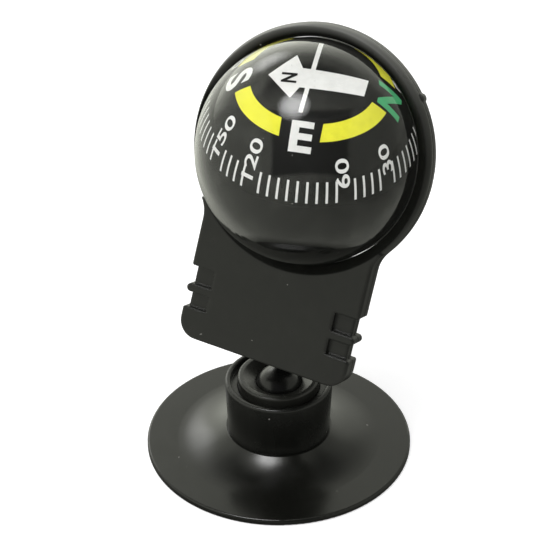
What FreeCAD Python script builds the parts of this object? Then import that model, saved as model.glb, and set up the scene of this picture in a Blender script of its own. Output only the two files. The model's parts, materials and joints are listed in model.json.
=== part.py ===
import FreeCAD, Part
import math
import os

# A dashboard compass: a clear ball filled with liquid, in which a printed float turns on its own,
# held in a two-part ring with a grip plate, on a ball joint that stands on a suction cup.
# Lengths are millimetres and angles are degrees. +Z is up, the front of the compass looks along -Y,
# and the origin is the middle of the suction cup's foot, on the surface that it holds.
# The head is shown as it was left: turned to its right, leaning back and rolled a little.

# Clearances
running_clearance = 0.05
seat_clearance = 0.1
cut_overrun = 1.0

# Suction cup
cup_radius = 23.0
cup_foot_width = 2.2
cup_rim_height = 1.17
cup_edge_round = 0.35
cup_hollow_depth = 1.1
cup_seat_height = 3.6
cup_seat_overhang = 0.35
cup_land_width = 5.0
stem_neck_radius = 5.6
stem_neck_height = 0.85
stem_head_radius = 6.35
stem_head_height = 1.85
stem_head_chamfer = 0.5

# Collar on the cup's stem
collar_wall = 2.17
collar_draft = 0.42
collar_rise = 2.04
collar_rim_width = 0.97
collar_rim_round = 0.35
collar_groove_depth = 1.25

# Socket that turns in the collar
socket_wall = 2.75
socket_rise = 0.8
socket_floor = 0.5
socket_rim_width = 0.95
socket_rim_round = 0.35
socket_mouth_rise = 1.6
bead_rise = 2.6
bead_height = 0.15
bead_half_length = 0.25
pad_radius = 2.4
pad_thickness = 0.3

# Ball stud
ball_radius = 4.25
stud_neck_radius = 1.8
stud_neck_length = 2.75
stud_flange_radius = 3.0
stud_flange_thickness = 1.0
stud_spigot_radius = 1.8
stud_tip_chamfer = 0.3
stud_pilot_depth = 6.0

# Stud screw and washer
screw_shank_radius = 0.9
screw_shank_length = 6.5
screw_head_radius = 2.0
screw_head_height = 1.3
screw_slot_width = 0.5
screw_slot_depth = 0.6
washer_radius = 2.6
washer_thickness = 0.4

# Shape of a screw's head, as shares of its height and radius
head_edge_share = 0.33
head_crown_share = 0.5
dome_share = 0.72

# Where the head stands against the ball joint
joint_below_plate = 7.44
stud_set_back = 13.07
head_turn = -25.1
head_lean = -22.4
head_roll = 3.8

# Plate and ring, each half of them
shell_thickness = 1.9
plate_half_width = 15.4
plate_foot_height = 5.15
plate_corner_round = 3.2
plate_edge_round = 0.35
shoulder_round = 5.3
ring_wall = 1.15
ring_lip_swell = 0.65
ring_lip_land = 0.1
ring_lip_set_back = 0.1
ring_lip_depth = 1.5
ring_lip_inner_round = 0.7
lip_bulge_share = 0.45
opening_bevel_depth = 1.2
capsule_side_gap = 0.15
ring_back_round = 0.5
pry_nub_angle = 40.0
pry_nub_radius = 0.9
pry_nub_rise = 0.35
pry_nub_set_in = 0.45

# Grips on both sides of the plate
grip_below_ring = 3.33
upper_notch_height = 3.16
grip_rib_thickness = 1.4
lower_notch_height = 2.66
grip_side_depth = 0.85
grip_face_depth = 0.9
grip_face_reach = 4.3
grip_corner_round = 0.5

# Boss and arm behind the plate
boss_radius = 5.2
boss_length = 11.4
boss_lid_thickness = 2.5
boss_edge_round = 0.5
arm_half_width = 3.2
arm_top_step = 0.6
arm_foot_step = 0.9

# Shell screws
upper_screw_inset = 2.4
upper_screw_off_ring = 3.56
lower_screw_inset = 6.5
lower_screw_above_foot = 4.5
shell_screw_radius = 1.0
shell_screw_head_radius = 1.9
shell_screw_head_height = 0.9
shell_screw_sink = 1.0
shell_screw_grip = 1.25
shell_screw_slot = 0.45
shell_screw_slot_depth = 0.45

# Capsule, its gasket, its plug and its liquid
capsule_radius = 18.45
capsule_set_back = 0.5
capsule_wall = 1.2
flange_reach = 1.05
flange_thickness = 0.8
flange_side_gap = 0.15
gasket_thickness = 0.4
gasket_width = 0.75
plug_radius = 1.45
plug_head_radius = 2.4
plug_head_thickness = 0.7
plug_seat_depth = 0.25
plug_slot_width = 0.6
plug_slot_depth = 0.35
plug_drop_angle = 40.0

# Float
liquid_depth = 3.35
float_wall = 0.9
float_gap = 0.2
float_flat_radius = 8.0
float_flat_round = 1.0
float_lean_fore = 4.3
float_lean_side = 3.0
float_heading = -8.1
ballast_radius = 5.5
ballast_height = 2.75
magnet_end_gap = 3.66
magnet_width = 3.0
magnet_height = 2.6
cradle_drop = 3.4
cradle_thickness = 1.2
cradle_rim_gap = 0.1
cradle_wall = 0.8

# Heights and radii that several pieces of the foot share
stem_neck_top = cup_seat_height + stem_neck_height
stem_top = stem_neck_top + stem_head_height
socket_bottom = stem_top + seat_clearance
pad_seat = socket_bottom + socket_floor
cavity_radius = ball_radius + running_clearance
joint_height = pad_seat + pad_thickness + cavity_radius
collar_top = joint_height + collar_rise
socket_top = collar_top + socket_rise
bead_at = socket_bottom + bead_rise
socket_radius = cavity_radius + socket_wall
collar_top_radius = socket_radius + running_clearance + collar_wall
collar_foot_radius = collar_top_radius - collar_draft

# Radii about the ring's middle that the capsule's size sets
ring_bore = capsule_radius + capsule_side_gap
flange_radius = capsule_radius + flange_reach
pocket_radius = flange_radius + flange_side_gap
ring_radius = pocket_radius + ring_wall
ring_lip_radius = ring_radius - ring_lip_swell
opening_radius = ring_lip_radius - ring_lip_land
wall_inside = capsule_radius - capsule_wall
float_radius = wall_inside - liquid_depth

# Drops below the ring's middle
grip_top_drop = ring_radius + grip_below_ring
grip_rib_drop = grip_top_drop + upper_notch_height
rib_foot_drop = grip_rib_drop + grip_rib_thickness
grip_foot_drop = rib_foot_drop + lower_notch_height
plate_drop = grip_foot_drop + plate_foot_height
joint_drop = plate_drop + joint_below_plate

# Depths behind the plate's front face
parting = shell_thickness
head_back = 2 * shell_thickness
flange_front = parting + running_clearance
flange_back = flange_front + flange_thickness
gasket_back = flange_back + gasket_thickness
ledge_front = gasket_back + running_clearance

# Heights along the stud, counted from the middle of the ball
stud_flange_rise = ball_radius + stud_neck_length
boss_foot = stud_flange_rise + stud_flange_thickness + running_clearance
boss_top = boss_foot + boss_length
spigot_top = boss_top - boss_lid_thickness - seat_clearance
washer_seat = boss_top + running_clearance

# Sizes about the float's middle
float_inside = float_radius - float_wall
float_flat_height = math.sqrt(float_radius ** 2 - float_flat_radius ** 2)
float_flat_under = float_flat_height - float_wall
ballast_fit = float_inside - running_clearance
cradle_radius = math.sqrt(float_inside ** 2 - cradle_drop ** 2) - cradle_rim_gap
cradle_side = magnet_width / 2 + running_clearance + cradle_wall
cradle_end = math.sqrt(cradle_radius ** 2 - cradle_side ** 2) - magnet_end_gap
magnet_length = 2 * (cradle_end - cradle_wall - running_clearance)

# Directions
UP = FreeCAD.Vector(0, 0, 1)
SIDE = FreeCAD.Vector(1, 0, 0)
BACK = FreeCAD.Vector(0, 1, 0)
ORIGIN = FreeCAD.Vector(0, 0, 0)


def bow(centre, start, end):
    """The middle of the short arc about a centre from one point to another."""
    radius = math.dist(centre, start)
    lean = ((start[0] + end[0]) / 2 - centre[0], (start[1] + end[1]) / 2 - centre[1])
    length = math.hypot(*lean)
    return (centre[0] + lean[0] / length * radius, centre[1] + lean[1] / length * radius)


def outline_wire(steps, place):
    """A closed wire: one point is a straight run's end, two points are an arc's middle and end."""
    edges = []
    here = steps[0]
    for step in list(steps[1:]) + [steps[0]]:
        if isinstance(step[0], tuple):
            middle, end = step
            edges.append(Part.Arc(place(here), place(middle), place(end)).toShape())
        else:
            end = step
            if math.dist(here, end) == 0:
                continue
            edges.append(Part.LineSegment(place(here), place(end)).toShape())
        here = end
    return Part.Wire(edges)


def lathe(steps):
    """A solid turned about the upright axis, from steps of (radius, height)."""
    wire = outline_wire(steps, lambda p: FreeCAD.Vector(p[0], 0, p[1]))
    return Part.Face(wire).revolve(ORIGIN, UP, 360)


def facing(shape):
    """Turns a solid made about the upright axis so that its height runs from front to back."""
    shape.rotate(ORIGIN, SIDE, -90)
    return shape


def slab(steps, front, depth):
    """A flat piece cut to an outline of (across, up), from a front face backwards."""
    wire = outline_wire(steps, lambda p: FreeCAD.Vector(p[0], front, p[1]))
    return Part.Face(wire).extrude(BACK * depth)


def block(low, high):
    """A box between two corners."""
    size = [b - a for a, b in zip(low, high)]
    return Part.makeBox(*size, FreeCAD.Vector(*low))


def rod(radius, start, length, direction):
    """A plain round rod from a point along a direction."""
    return Part.makeCylinder(radius, length, FreeCAD.Vector(*start), direction)


def soften(shape, radius, chosen):
    """Rounds the edges for which a test of the edge's middle and direction holds."""
    edges = [e for e in shape.Edges if chosen(e)]
    return shape.makeFillet(radius, edges)


def head_placement():
    """Puts the head's own frame, in which the ring's front centre is the origin, on the ball joint."""
    turn = FreeCAD.Rotation(UP, head_turn)
    lean = FreeCAD.Rotation(SIDE, head_lean)
    roll = FreeCAD.Rotation(BACK, head_roll)
    rotation = turn.multiply(lean).multiply(roll)
    joint = FreeCAD.Vector(0, stud_set_back, -joint_drop)
    return FreeCAD.Placement(FreeCAD.Vector(0, 0, joint_height) - rotation.multVec(joint), rotation)


def float_placement():
    """Puts the float's own frame, with its pole up and its north letter along +X, in the capsule."""
    fore = FreeCAD.Rotation(SIDE, float_lean_fore)
    aside = FreeCAD.Rotation(BACK, float_lean_side)
    heading = FreeCAD.Rotation(UP, float_heading)
    centre = head_placement().multVec(FreeCAD.Vector(0, capsule_set_back, 0))
    return FreeCAD.Placement(centre, fore.multiply(aside).multiply(heading))


def suction_cup():
    """A soft cup: a thin flat rim, a hollow underside, a slope that bows up to the seat and a headed stem."""
    foot_inner = cup_radius - cup_foot_width
    hollow_radius = (foot_inner ** 2 + cup_hollow_depth ** 2) / (2 * cup_hollow_depth)
    hollow_centre = (0, cup_hollow_depth - hollow_radius)
    side = cup_radius - cup_edge_round
    rim_top = cup_rim_height - cup_edge_round
    seat = collar_foot_radius + cup_seat_overhang
    land = (side - cup_land_width, cup_rim_height)
    slope_run = land[0] - seat
    slope_rise = cup_seat_height - cup_rim_height
    slope_radius = (slope_run ** 2 + slope_rise ** 2) / (2 * slope_rise)
    slope_centre = (land[0], cup_rim_height + slope_radius)
    slope_top = (seat, cup_seat_height)
    crown = (0, cup_hollow_depth)
    foot_outer = (cup_radius, cup_edge_round)
    shoulder = (side, cup_rim_height)
    steps = [
        crown,
        (bow(hollow_centre, crown, (foot_inner, 0)), (foot_inner, 0)),
        (side, 0),
        (bow((side, cup_edge_round), (side, 0), foot_outer), foot_outer),
        (cup_radius, rim_top),
        (bow((side, rim_top), (cup_radius, rim_top), shoulder), shoulder),
        land,
        (bow(slope_centre, land, slope_top), slope_top),
        (stem_neck_radius, cup_seat_height),
        (stem_neck_radius, stem_neck_top),
        (stem_head_radius, stem_neck_top),
        (stem_head_radius, stem_top - stem_head_chamfer),
        (stem_head_radius - stem_head_chamfer, stem_top),
        (0, stem_top),
    ]
    return lathe(steps)


def socket_collar():
    """A drafted tube that snaps over the stem's head and holds the socket, with a groove round its mouth."""
    rim_in = collar_top_radius - collar_rim_width
    soft = collar_rim_round
    bore = socket_radius + running_clearance
    stem_bore = stem_head_radius + seat_clearance
    lip = stem_neck_radius + seat_clearance
    lip_top = stem_neck_top - seat_clearance
    outer = (collar_top_radius, collar_top - soft)
    outer_top = (collar_top_radius - soft, collar_top)
    inner_top = (rim_in + soft, collar_top)
    inner = (rim_in, collar_top - soft)
    steps = [
        (lip, cup_seat_height),
        (collar_foot_radius, cup_seat_height),
        outer,
        (bow((outer_top[0], outer[1]), outer, outer_top), outer_top),
        inner_top,
        (bow((inner_top[0], inner[1]), inner_top, inner), inner),
        (rim_in, collar_top - collar_groove_depth),
        (bore, collar_top - collar_groove_depth),
        (bore, bead_at + bead_half_length + running_clearance),
        (bore + bead_height, bead_at + running_clearance),
        (bore + bead_height, bead_at - running_clearance),
        (bore, bead_at - bead_half_length - running_clearance),
        (bore, socket_bottom),
        (stem_bore, socket_bottom),
        (stem_bore, lip_top),
        (lip, lip_top),
    ]
    return lathe(steps)


def ball_socket():
    """The turning socket: a spherical seat under a wide cone, and a bead that keeps it in the collar."""
    soft = socket_rim_round
    mouth = (math.sqrt(cavity_radius ** 2 - socket_mouth_rise ** 2), joint_height + socket_mouth_rise)
    well = pad_radius + seat_clearance
    well_top = (well, joint_height - math.sqrt(cavity_radius ** 2 - well ** 2))
    outer = (socket_radius, socket_top - soft)
    outer_top = (socket_radius - soft, socket_top)
    cone_top = (socket_radius - socket_rim_width, socket_top)
    steps = [
        (0, socket_bottom),
        (socket_radius, socket_bottom),
        (socket_radius, bead_at - bead_half_length),
        (socket_radius + bead_height, bead_at),
        (socket_radius, bead_at + bead_half_length),
        outer,
        (bow((outer_top[0], outer[1]), outer, outer_top), outer_top),
        cone_top,
        mouth,
        (bow((0, joint_height), mouth, well_top), well_top),
        (well, pad_seat),
        (0, pad_seat),
    ]
    return lathe(steps)


def friction_pad():
    """A soft pad under the ball, hollowed to it, that gives the joint its drag."""
    edge = (pad_radius, joint_height - math.sqrt(cavity_radius ** 2 - pad_radius ** 2))
    bottom = (0, joint_height - cavity_radius)
    steps = [
        (0, pad_seat),
        (pad_radius, pad_seat),
        edge,
        (bow((0, joint_height), edge, bottom), bottom),
    ]
    return lathe(steps)


def on_joint(shape):
    """Moves a piece made about the ball's middle into the head's own frame."""
    shape.translate(FreeCAD.Vector(0, stud_set_back, -joint_drop))
    return shape


def ball_stud():
    """A ball on a short neck, with a flange under the boss and a spigot in it, drilled for its screw."""
    bottom = (0, -ball_radius)
    neck = (stud_neck_radius, math.sqrt(ball_radius ** 2 - stud_neck_radius ** 2))
    flange_top = stud_flange_rise + stud_flange_thickness
    pilot = screw_shank_radius + running_clearance
    steps = [
        bottom,
        (bow((0, 0), bottom, (ball_radius, 0)), (ball_radius, 0)),
        (bow((0, 0), (ball_radius, 0), neck), neck),
        (stud_neck_radius, stud_flange_rise),
        (stud_flange_radius, stud_flange_rise),
        (stud_flange_radius, flange_top),
        (stud_spigot_radius, flange_top),
        (stud_spigot_radius, spigot_top - stud_tip_chamfer),
        (stud_spigot_radius - stud_tip_chamfer, spigot_top),
        (pilot, spigot_top),
        (pilot, spigot_top - stud_pilot_depth),
        (0, spigot_top - stud_pilot_depth),
    ]
    return on_joint(lathe(steps))


def cross_slots(half_length, width, bottom, top):
    """Two crossed slots for a screwdriver, cut down from a head's top."""
    first = block((-half_length, -width / 2, bottom), (half_length, width / 2, top))
    second = block((-width / 2, -half_length, bottom), (width / 2, half_length, top))
    return first.fuse(second)


def pan_screw(shank_radius, shank_length, head_radius, head_height, slot_width, slot_depth):
    """A domed screw, its head standing on height zero and its shank hanging below it."""
    edge = (head_radius, head_height * head_edge_share)
    crown = (head_radius * head_crown_share, head_height)
    corner = (crown[0], edge[1])
    dome = (
        corner[0] + (edge[0] - corner[0]) * dome_share,
        corner[1] + (crown[1] - corner[1]) * dome_share,
    )
    steps = [
        (0, -shank_length),
        (shank_radius, -shank_length),
        (shank_radius, 0),
        (head_radius, 0),
        edge,
        (dome, crown),
        (0, head_height),
    ]
    slots = cross_slots(crown[0], slot_width, head_height - slot_depth, head_height + cut_overrun)
    return lathe(steps).cut(slots)


def stud_washer():
    """A plain washer on the boss, under the screw's head."""
    bore = screw_shank_radius + seat_clearance
    steps = [
        (bore, washer_seat),
        (washer_radius, washer_seat),
        (washer_radius, washer_seat + washer_thickness),
        (bore, washer_seat + washer_thickness),
    ]
    return on_joint(lathe(steps))


def stud_screw():
    """The screw that draws the stud up into the boss."""
    screw = pan_screw(
        screw_shank_radius, screw_shank_length, screw_head_radius, screw_head_height,
        screw_slot_width, screw_slot_depth,
    )
    screw.translate(FreeCAD.Vector(0, 0, washer_seat + washer_thickness))
    return on_joint(screw)


def plate_steps():
    """The plate's outline: straight sides, rounded feet, and shoulders that flow into the ring."""
    reach = plate_half_width + shoulder_round
    shoulder = -math.sqrt((ring_radius + shoulder_round) ** 2 - reach ** 2)
    share = ring_radius / (ring_radius + shoulder_round)
    touch = (reach * share, shoulder * share)
    side = plate_half_width
    foot = -plate_drop
    soft = plate_corner_round
    right = [
        (touch[0], touch[1]),
        (bow((reach, shoulder), touch, (side, shoulder)), (side, shoulder)),
        (side, foot + soft),
        (bow((side - soft, foot + soft), (side, foot + soft), (side - soft, foot)), (side - soft, foot)),
    ]
    left = [
        (soft - side, foot),
        (bow((soft - side, foot + soft), (soft - side, foot), (-side, foot + soft)), (-side, foot + soft)),
        (-side, shoulder),
        (bow((-reach, shoulder), (-side, shoulder), (-touch[0], touch[1])), (-touch[0], touch[1])),
    ]
    return right + left


def plate(front, outer_face):
    """One half of the grip plate, with the edge of its outer face rounded."""
    solid = slab(plate_steps(), front, shell_thickness)
    top = max(point[-1][1] if isinstance(point[0], tuple) else point[1] for point in plate_steps())

    def outer_edge(edge):
        """Edges of the outer face, all but the straight one inside the ring."""
        box = edge.BoundBox
        flat = abs(box.YMin - outer_face) + abs(box.YMax - outer_face) < plate_edge_round / 10
        return flat and box.ZMin < top - plate_edge_round / 10

    return soften(solid, plate_edge_round, outer_edge)


def grips(solid, outer_face, inward):
    """Cuts the two finger notches of each side, and leaves the round-ended rib between them."""
    face_floor = outer_face + inward * grip_face_depth
    low_y = min(outer_face - inward * cut_overrun, face_floor)
    high_y = max(outer_face - inward * cut_overrun, face_floor)
    for sign in (-1, 1):
        far = sign * (plate_half_width + cut_overrun)
        inner = sign * (plate_half_width - grip_face_reach)
        solid = solid.cut(side_notch(sign))
        for top, foot in ((grip_top_drop, grip_rib_drop), (rib_foot_drop, grip_foot_drop)):
            recess = block((min(inner, far), low_y, -foot), (max(inner, far), high_y, -top))
            solid = solid.cut(recess)
        solid = solid.fuse(rib(sign, outer_face, inward))
    return solid.removeSplitter()


def side_notch(sign):
    """What a grip takes off the plate's side, with the corners above and below it left rounded."""
    near = sign * (plate_half_width - grip_side_depth)
    start = sign * (plate_half_width - grip_corner_round)
    side = sign * plate_half_width
    far = sign * (plate_half_width + cut_overrun)
    foot = -grip_foot_drop
    top = -grip_top_drop
    low = foot - grip_corner_round
    high = top + grip_corner_round
    steps = [
        (near, foot),
        (start, foot),
        (bow((start, low), (start, foot), (side, low)), (side, low)),
        (far, low),
        (far, high),
        (side, high),
        (bow((start, high), (side, high), (start, top)), (start, top)),
        (near, top),
    ]
    return slab(steps, -cut_overrun, head_back + 2 * cut_overrun)


def rib(sign, outer_face, inward):
    """The rib between two notches: flat faces and a fully rounded end, flush with the plate's side."""
    half = grip_rib_thickness / 2
    end = plate_half_width - half
    top = -grip_rib_drop
    foot = -rib_foot_drop
    root = plate_half_width - grip_face_reach
    steps = [
        (sign * root, foot),
        (sign * end, foot),
        ((sign * plate_half_width, foot + half), (sign * end, top)),
        (sign * root, top),
    ]
    front = min(outer_face, outer_face + inward * shell_thickness)
    return slab(steps, front, shell_thickness)


def screw_places():
    """The four shell screws: one beside each shoulder and one above each foot of the plate."""
    upper_reach = plate_half_width - upper_screw_inset
    lower_reach = plate_half_width - lower_screw_inset
    upper = -math.sqrt((ring_radius + upper_screw_off_ring) ** 2 - upper_reach ** 2)
    lower = lower_screw_above_foot - plate_drop
    return [
        (sign * reach, up)
        for sign in (-1, 1)
        for reach, up in ((upper_reach, upper), (lower_reach, lower))
    ]


def opening_cut():
    """The way through both shells for the capsule: a plain bore and a wide bevel at the front."""
    steps = [
        (0, -cut_overrun),
        (opening_radius, -cut_overrun),
        (opening_radius, 0),
        (ring_bore, opening_bevel_depth),
        (ring_bore, head_back + cut_overrun),
        (0, head_back + cut_overrun),
    ]
    return facing(lathe(steps))


def front_ring():
    """The front half of the ring: a thin lip, round on its inner side, that swells to the full size."""
    start = (ring_lip_radius, ring_lip_set_back)
    full = (ring_radius, ring_lip_depth)
    slope = (opening_radius - ring_bore, opening_bevel_depth - ring_lip_set_back)
    share = ring_lip_inner_round / math.hypot(*slope)
    low = (opening_radius - share * slope[0], ring_lip_set_back + share * slope[1])
    chord = ((low[0] + start[0]) / 2, (low[1] + start[1]) / 2)
    crest = (
        chord[0] + lip_bulge_share * (opening_radius - chord[0]),
        chord[1] + lip_bulge_share * (ring_lip_set_back - chord[1]),
    )
    steps = [
        (ring_bore, parting),
        (ring_bore, opening_bevel_depth),
        low,
        (crest, start),
        (bow((ring_lip_radius - ring_lip_depth, ring_lip_depth + ring_lip_set_back), start, full), full),
        (ring_radius, parting),
    ]
    return facing(lathe(steps))


def front_shell():
    """The front half of the ring and of the grip plate, in one piece."""
    solid = plate(0, 0).cut(opening_cut())
    solid = grips(solid, 0, 1)
    solid = solid.fuse(front_ring()).removeSplitter()
    for across, up in screw_places():
        pilot = rod(
            shell_screw_radius + running_clearance,
            (across, parting - shell_screw_grip - running_clearance, up),
            shell_screw_grip + running_clearance + cut_overrun,
            BACK,
        )
        solid = solid.cut(pilot)
    return solid


def back_ring():
    """The back half of the ring, with a pocket for the capsule's flange and the gasket."""
    soft = ring_back_round
    side = (ring_radius, head_back - soft)
    corner = (ring_radius - soft, head_back)
    steps = [
        (pocket_radius, parting),
        (ring_radius, parting),
        side,
        (bow((corner[0], side[1]), side, corner), corner),
        (ring_bore, head_back),
        (ring_bore, ledge_front),
        (pocket_radius, ledge_front),
    ]
    return facing(lathe(steps))


def pocket_cut():
    """The flange's pocket, cut out of the plate where it crosses the ring."""
    start = parting - cut_overrun
    return rod(pocket_radius, (0, start, 0), ledge_front - start, BACK)


def pry_nub():
    """A small nub on the back shell's rim, where the halves are pried apart."""
    angle = math.radians(pry_nub_angle)
    middle = ring_radius - pry_nub_radius + pry_nub_rise
    start = (middle * math.cos(angle), parting + running_clearance, middle * math.sin(angle))
    return rod(pry_nub_radius, start, shell_thickness - pry_nub_set_in, BACK)


def boss_and_arm():
    """The round boss that takes the stud, and the arm that joins it to the plate."""
    boss = rod(boss_radius, (0, 0, boss_foot), boss_length, UP)
    boss = on_joint(boss.makeFillet(boss_edge_round, [e for e in boss.Edges if len(e.Vertexes) == 1]))
    top = boss_top - joint_drop - arm_top_step
    foot = boss_foot - joint_drop + arm_foot_step
    arm = block((-arm_half_width, parting, foot), (arm_half_width, stud_set_back, top))
    return boss.fuse(arm)


def rear_shell():
    """The back half of the ring and plate, with the boss, the stud's bore and the screws' seats."""
    solid = plate(parting, head_back).cut(opening_cut()).cut(pocket_cut())
    solid = grips(solid, head_back, -1)
    solid = solid.fuse(back_ring()).fuse(boss_and_arm()).fuse(pry_nub().cut(pocket_cut()))
    start = boss_foot - cut_overrun
    bore = rod(stud_spigot_radius + running_clearance, (0, 0, start), spigot_top + seat_clearance - start, UP)
    screw_way = rod(screw_shank_radius + seat_clearance, (0, 0, start), boss_length + 2 * cut_overrun, UP)
    solid = solid.cut(on_joint(bore)).cut(on_joint(screw_way))
    start = parting - cut_overrun
    floor = head_back - shell_screw_sink
    sink = shell_screw_sink + cut_overrun
    for across, up in screw_places():
        way = rod(shell_screw_radius + seat_clearance, (across, start, up), floor - start + cut_overrun, BACK)
        seat = rod(shell_screw_head_radius + seat_clearance, (across, floor, up), sink, BACK)
        solid = solid.cut(way).cut(seat)
    return solid.removeSplitter()


def shell_screws():
    """The four small screws that draw the back shell onto the front one."""
    screws = []
    shank = shell_thickness - shell_screw_sink + shell_screw_grip
    for across, up in screw_places():
        screw = facing(pan_screw(
            shell_screw_radius, shank, shell_screw_head_radius, shell_screw_head_height,
            shell_screw_slot, shell_screw_slot_depth,
        ))
        screw.translate(FreeCAD.Vector(across, head_back - shell_screw_sink, up))
        screws.append(screw)
    return Part.makeCompound(screws)


# Where the capsule's halves meet, behind its middle
seam = flange_front - capsule_set_back


def in_capsule(shape):
    """Moves a piece made about the capsule's middle into the head's own frame."""
    shape.translate(FreeCAD.Vector(0, capsule_set_back, 0))
    return shape


def on_sphere(radius, height):
    """The point of a sphere's outline at a height."""
    return (math.sqrt(radius ** 2 - height ** 2), height)


def capsule_front():
    """The clear front dome, up to the seam."""
    outside = on_sphere(capsule_radius, seam)
    inside = on_sphere(wall_inside, seam)
    front_out = (0, -capsule_radius)
    front_in = (0, -wall_inside)
    steps = [
        front_out,
        (bow((0, 0), front_out, (capsule_radius, 0)), (capsule_radius, 0)),
        (bow((0, 0), (capsule_radius, 0), outside), outside),
        inside,
        (bow((0, 0), inside, (wall_inside, 0)), (wall_inside, 0)),
        (bow((0, 0), (wall_inside, 0), front_in), front_in),
    ]
    return in_capsule(facing(lathe(steps)))


def plug_direction():
    """Where the filler plug points: backwards and down."""
    angle = math.radians(plug_drop_angle)
    return FreeCAD.Vector(0, math.cos(angle), -math.sin(angle))


def capsule_rear():
    """The clear back dome, with the flange that the shells clamp and the filler hole."""
    outside = on_sphere(capsule_radius, seam + flange_thickness)
    inside = on_sphere(wall_inside, seam)
    back_out = (0, capsule_radius)
    back_in = (0, wall_inside)
    steps = [
        inside,
        (flange_radius, seam),
        (flange_radius, seam + flange_thickness),
        outside,
        (bow((0, 0), outside, back_out), back_out),
        back_in,
        (bow((0, 0), back_in, inside), inside),
    ]
    solid = facing(lathe(steps))
    direction = plug_direction()
    hole = rod(plug_radius + running_clearance, direction * (wall_inside - cut_overrun),
               capsule_wall + 2 * cut_overrun, direction)
    seat = rod(plug_head_radius + seat_clearance, direction * (capsule_radius - plug_seat_depth),
               plug_seat_depth + cut_overrun, direction)
    return in_capsule(solid.cut(hole).cut(seat))


def filler_plug():
    """The plug that closes the filler hole, with a slot for a coin or a driver."""
    direction = plug_direction()
    seat = capsule_radius - plug_seat_depth
    body = rod(plug_radius, direction * (wall_inside + running_clearance), seat - wall_inside, direction)
    head = rod(plug_head_radius, direction * seat, plug_head_thickness, direction)
    slot = block(
        (-plug_head_radius - cut_overrun, -plug_slot_width / 2, plug_head_thickness - plug_slot_depth),
        (plug_head_radius + cut_overrun, plug_slot_width / 2, plug_head_thickness + cut_overrun),
    )
    slot.rotate(ORIGIN, SIDE, -90 - plug_drop_angle)
    slot.translate(direction * seat)
    return in_capsule(body.fuse(head).cut(slot).removeSplitter())


def capsule_gasket():
    """A flat rubber ring between the capsule's flange and the back shell's ledge."""
    steps = [
        (flange_radius - gasket_width, flange_back),
        (flange_radius, flange_back),
        (flange_radius, gasket_back),
        (flange_radius - gasket_width, gasket_back),
    ]
    return facing(lathe(steps))


def damping_liquid():
    """The liquid that fills the space between the capsule's wall and the float."""
    outer = Part.makeSphere(wall_inside - running_clearance)
    inner = Part.makeSphere(float_radius + float_gap)
    return in_capsule(outer.cut(inner))


def float_top():
    """The upper half of the float's hollow ball, with the flat top that carries the arrow."""
    rim_out = (float_radius, 0)
    rim_in = (float_inside, 0)
    edge_out = on_sphere(float_radius, float_flat_height)
    edge_in = on_sphere(float_inside, float_flat_under)
    steps = [
        rim_in,
        rim_out,
        (bow((0, 0), rim_out, edge_out), edge_out),
        (0, float_flat_height),
        (0, float_flat_under),
        edge_in,
        (bow((0, 0), edge_in, rim_in), rim_in),
    ]
    middle = (float_flat_height + float_flat_under) / 2
    return soften(lathe(steps), float_flat_round, lambda e: e.Closed and e.BoundBox.ZMin > middle)


def float_bottom():
    """The lower half of the float's hollow ball."""
    rim_out = (float_radius, 0)
    rim_in = (float_inside, 0)
    pole_out = (0, -float_radius)
    pole_in = (0, -float_inside)
    steps = [
        rim_in,
        rim_out,
        (bow((0, 0), rim_out, pole_out), pole_out),
        pole_in,
        (bow((0, 0), pole_in, rim_in), rim_in),
    ]
    return lathe(steps)


def ballast_weight():
    """A round weight in the bottom of the float, which keeps its pole up."""
    bottom = (0, -ballast_fit)
    rim = (ballast_radius, -math.sqrt(ballast_fit ** 2 - ballast_radius ** 2))
    top = ballast_height - ballast_fit
    steps = [
        bottom,
        (bow((0, 0), bottom, rim), rim),
        (ballast_radius, top),
        (0, top),
    ]
    return lathe(steps)


def magnet():
    """The bar magnet, lying on the cradle's floor along the float's north-south line."""
    floor = cradle_thickness - cradle_drop
    return block(
        (-magnet_length / 2, -magnet_width / 2, floor),
        (magnet_length / 2, magnet_width / 2, floor + magnet_height),
    )


def magnet_cradle():
    """A round floor in the lower half of the float, with a wall round the magnet."""
    floor = cradle_thickness - cradle_drop
    disc = rod(cradle_radius, (0, 0, -cradle_drop), cradle_thickness, UP)
    half_length = cradle_end - cradle_wall
    half_width = cradle_side - cradle_wall
    wall = block(
        (-cradle_end, -cradle_side, floor),
        (cradle_end, cradle_side, floor + magnet_height / 2),
    )
    space = block(
        (-half_length, -half_width, floor),
        (half_length, half_width, floor + magnet_height),
    )
    return disc.fuse(wall.cut(space)).removeSplitter()


def in_head(shape):
    """Places a piece of the head where the ball joint holds it."""
    shape.Placement = head_placement().multiply(shape.Placement)
    return shape


def in_float(shape):
    """Places a piece of the float where it floats."""
    shape.Placement = float_placement().multiply(shape.Placement)
    return shape


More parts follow.
